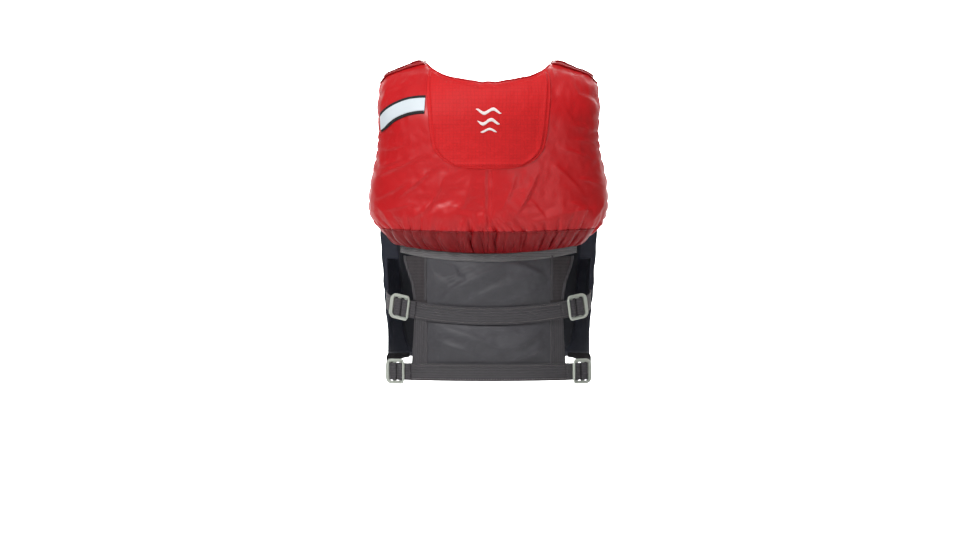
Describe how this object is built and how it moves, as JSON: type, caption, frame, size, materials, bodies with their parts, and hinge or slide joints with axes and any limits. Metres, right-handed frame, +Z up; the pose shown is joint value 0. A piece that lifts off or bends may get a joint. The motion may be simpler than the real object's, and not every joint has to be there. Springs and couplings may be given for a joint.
{
  "type": "life jacket",
  "caption": "Buoyancy vest with foam back and front panels, a cut-away stretch lower back, side straps with sliding adjusters, shoulder straps and a front zipper.",
  "frame": {"origin": "middle of the line over the wearer's two shoulders, where the vest hangs; the waist hem is 0.452 m below it", "axes": "+Z up, +Y the way the wearer faces, +X the wearer's right; the back of the vest faces -Y"},
  "size_m": [0.3512, 0.3024, 0.475],
  "materials": {
    "adjuster_plastic": "pale grey moulded plastic",
    "foam": "closed-cell buoyancy foam",
    "gusset_cloth": "dark red gathered nylon",
    "hem_tape": "light grey woven tape",
    "lining": "dark knit lining",
    "navy_shell": "dark navy nylon",
    "red_shell": "red nylon with a soft sheen",
    "reflective_tape": "pale grey reflective tape",
    "reflector_border": "black backing tape",
    "side_mesh": "open dark mesh",
    "stretch_panel": "charcoal stretch knit",
    "webbing_black": "black webbing",
    "webbing_dark": "grey-brown ribbed webbing",
    "webbing_pale": "light grey webbing",
    "yoke_ripstop": "brighter red ripstop with a fine grid",
    "zip_metal": "grey moulded zip hardware",
    "zip_tape": "black coil and tape"
  },
  "bodies": {
    "back": {"back_foam": "foam", "back_shell_left": "red_shell", "back_side_gusset_left": "gusset_cloth", "back_shell_right": "red_shell", "back_side_gusset_right": "gusset_cloth", "back_bottom_gusset": "gusset_cloth", "back_top_binding": "gusset_cloth", "back_liner": "lining", "back_yoke": "yoke_ripstop", "reflector_border": "reflector_border", "reflector_band": "reflective_tape", "hem_tape": "hem_tape", "lower_back_panel": "stretch_panel", "mesh_side_left": "side_mesh", "side_binding_left": "webbing_dark", "mesh_side_right": "side_mesh", "side_binding_right": "webbing_dark", "mid_side_strap_left": "webbing_pale", "mid_side_strap_right": "webbing_pale", "mid_strap_back": "webbing_dark", "waist_side_strap_left": "webbing_black", "waist_side_strap_right": "webbing_black", "waist_strap_back": "webbing_dark"},
    "front_left": {"front_left_foam": "foam", "front_left_shell_upper": "red_shell", "front_left_shell_lower": "navy_shell", "front_left_liner": "lining", "front_left_side_panel": "navy_shell", "front_left_zipper_tape": "zip_tape", "front_left_zipper_teeth": "zip_tape", "front_left_pocket": "navy_shell", "front_left_pocket_zip": "zip_tape", "front_left_shoulder_pad": "red_shell", "front_left_shoulder_web": "webbing_black"},
    "front_right": {"front_right_foam": "foam", "front_right_shell_upper": "red_shell", "front_right_shell_lower": "navy_shell", "front_right_liner": "lining", "front_right_side_panel": "navy_shell", "front_right_zipper_tape": "zip_tape", "front_right_zipper_teeth": "zip_tape", "front_right_pocket": "navy_shell", "front_right_pocket_zip": "zip_tape", "front_right_shoulder_pad": "red_shell", "front_right_shoulder_web": "webbing_black"},
    "mid_adjuster_left": {"mid_adjuster_left": "adjuster_plastic", "mid_threaded_web_left": "webbing_pale"},
    "mid_adjuster_right": {"mid_adjuster_right": "adjuster_plastic", "mid_threaded_web_right": "webbing_pale"},
    "waist_adjuster_left": {"waist_adjuster_left": "adjuster_plastic", "waist_threaded_web_left": "webbing_black"},
    "waist_adjuster_right": {"waist_adjuster_right": "adjuster_plastic", "waist_threaded_web_right": "webbing_black"},
    "pocket_slider_left": {"front_left_pocket_slider": "zip_metal"},
    "shoulder_adjuster_left": {"shoulder_adjuster_left": "adjuster_plastic"},
    "pocket_slider_right": {"front_right_pocket_slider": "zip_metal"},
    "shoulder_adjuster_right": {"shoulder_adjuster_right": "adjuster_plastic"},
    "zipper_slider": {"zipper_slider": "zip_metal"},
    "zipper_pull": {"zipper_pull": "zip_metal"}
  },
  "joints": [
    {"name": "front_right_swing", "type": "hinge", "parent": "back", "child": "front_right", "pos_m": [0.162, 0, -0.25], "axis": [0, 0, -1], "range_deg": [0, 75]},
    {"name": "front_left_swing", "type": "hinge", "parent": "back", "child": "front_left", "pos_m": [-0.162, 0, -0.25], "axis": [0, 0, 1], "range_deg": [0, 75]},
    {"name": "mid_adjuster_left_tilt", "type": "hinge", "parent": "back", "child": "mid_adjuster_left", "pos_m": [-0.12251, -0.06025, -0.34566], "axis": [0.1225, -0.1114, 0.9862], "range_deg": [0, 40]},
    {"name": "mid_adjuster_right_tilt", "type": "hinge", "parent": "back", "child": "mid_adjuster_right", "pos_m": [0.12251, -0.06025, -0.34566], "axis": [0.1225, 0.1114, -0.9862], "range_deg": [0, 40]},
    {"name": "waist_adjuster_left_tilt", "type": "hinge", "parent": "back", "child": "waist_adjuster_left", "pos_m": [-0.12937, -0.05386, -0.439], "axis": [0, 0, 1], "range_deg": [0, 40]},
    {"name": "waist_adjuster_right_tilt", "type": "hinge", "parent": "back", "child": "waist_adjuster_right", "pos_m": [0.12937, -0.05386, -0.439], "axis": [0, 0, -1], "range_deg": [0, 40]},
    {"name": "shoulder_adjuster_left_tilt", "type": "hinge", "parent": "front_left", "child": "shoulder_adjuster_left", "pos_m": [-0.09575, 0.10653, -0.06917], "axis": [-0.9009, -0.4323, -0.0381], "range_deg": [0, 40]},
    {"name": "pocket_slider_left_slide", "type": "slide", "parent": "front_left", "child": "pocket_slider_left", "axis": [0.0005, -0.0027, -1], "range_m": [0, 0.05]},
    {"name": "shoulder_adjuster_right_tilt", "type": "hinge", "parent": "front_right", "child": "shoulder_adjuster_right", "pos_m": [0.09575, 0.10653, -0.06917], "axis": [-0.9009, 0.4323, 0.0381], "range_deg": [0, 40]},
    {"name": "pocket_slider_right_slide", "type": "slide", "parent": "front_right", "child": "pocket_slider_right", "axis": [-0.0005, -0.0027, -1], "range_m": [0, 0.05]},
    {"name": "zipper_slide", "type": "slide", "parent": "front_right", "child": "zipper_slider", "axis": [0, 0, -1], "range_m": [0, 0.255]},
    {"name": "zipper_pull_flip", "type": "hinge", "parent": "zipper_slider", "child": "zipper_pull", "pos_m": [0, 0.1421, -0.134], "axis": [1, 0, 0], "range_deg": [0, 110]}
  ],
  "couplings": [
    {"joint": "front_left_swing", "follows": "front_right_swing", "ratio": 1}
  ]
}
